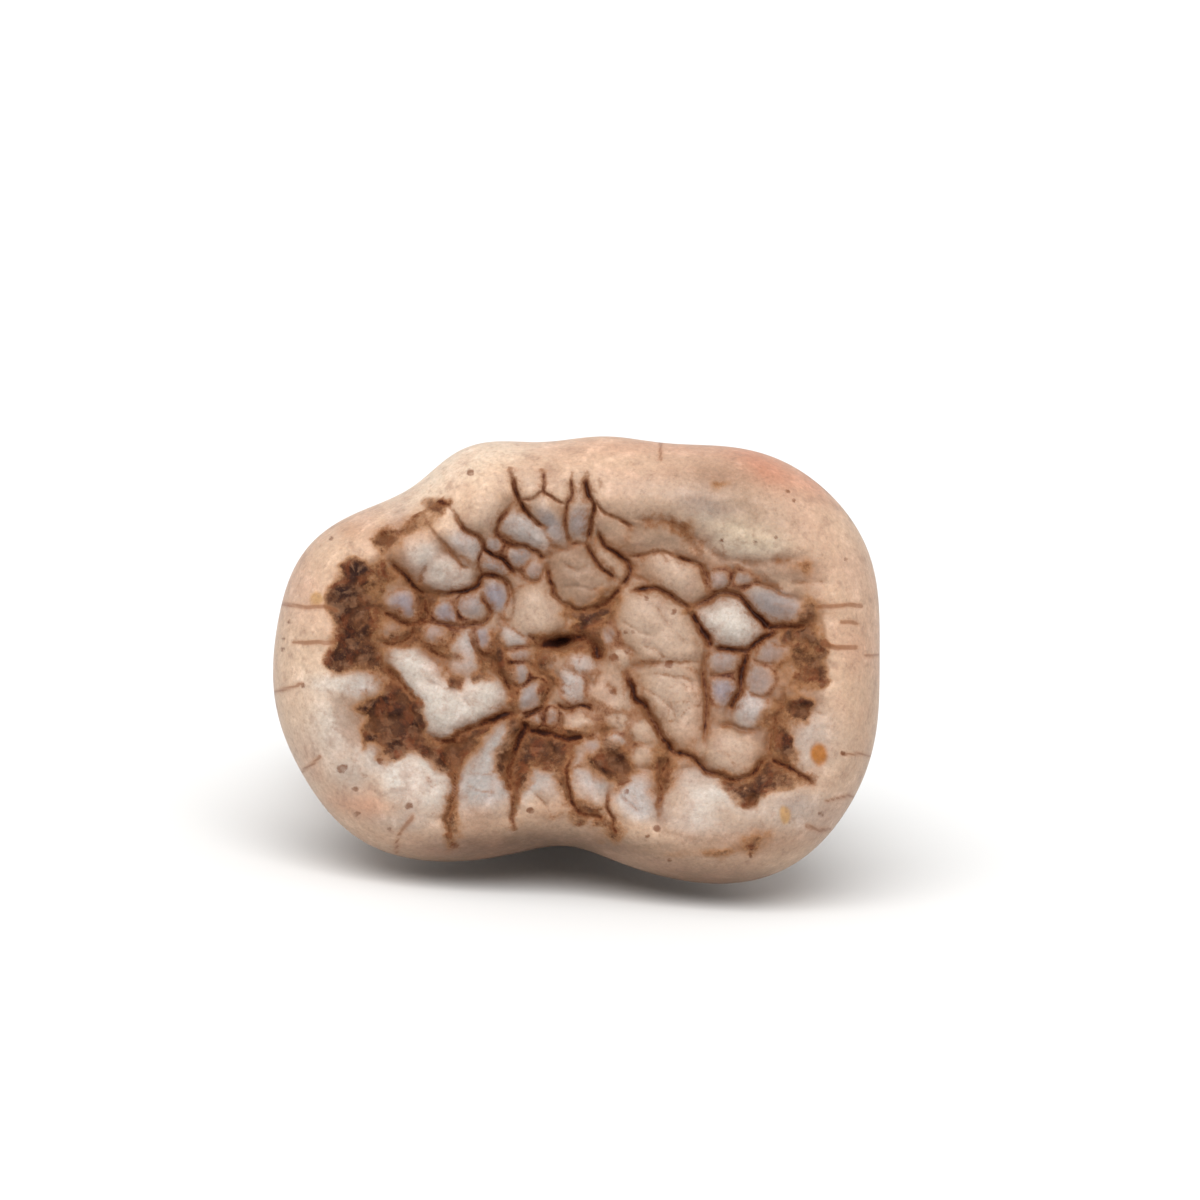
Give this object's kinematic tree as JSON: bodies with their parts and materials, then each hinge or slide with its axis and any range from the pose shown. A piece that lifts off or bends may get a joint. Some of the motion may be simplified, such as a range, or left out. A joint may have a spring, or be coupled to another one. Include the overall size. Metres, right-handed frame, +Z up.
{
  "type": "fossil cave bear tooth",
  "caption": "Fossil cheek tooth of a cave bear: an oval crown with a wrinkled, lobed chewing surface on a flat tapering root, lying on its side.",
  "frame": {"origin": "middle of the lying tooth's box, at ground level", "axes": "+X towards the front end of the crown, -Y the way the chewing surface faces, +Y towards the root's tip, +Z up, towards the tongue side"},
  "size_m": [0.027, 0.0364, 0.0198],
  "materials": {
    "tooth": "old polished enamel, pinkish cream with brown stain in the fissures; duller tan root"
  },
  "bodies": {
    "root": {"tooth": "tooth"}
  },
  "joints": []
}
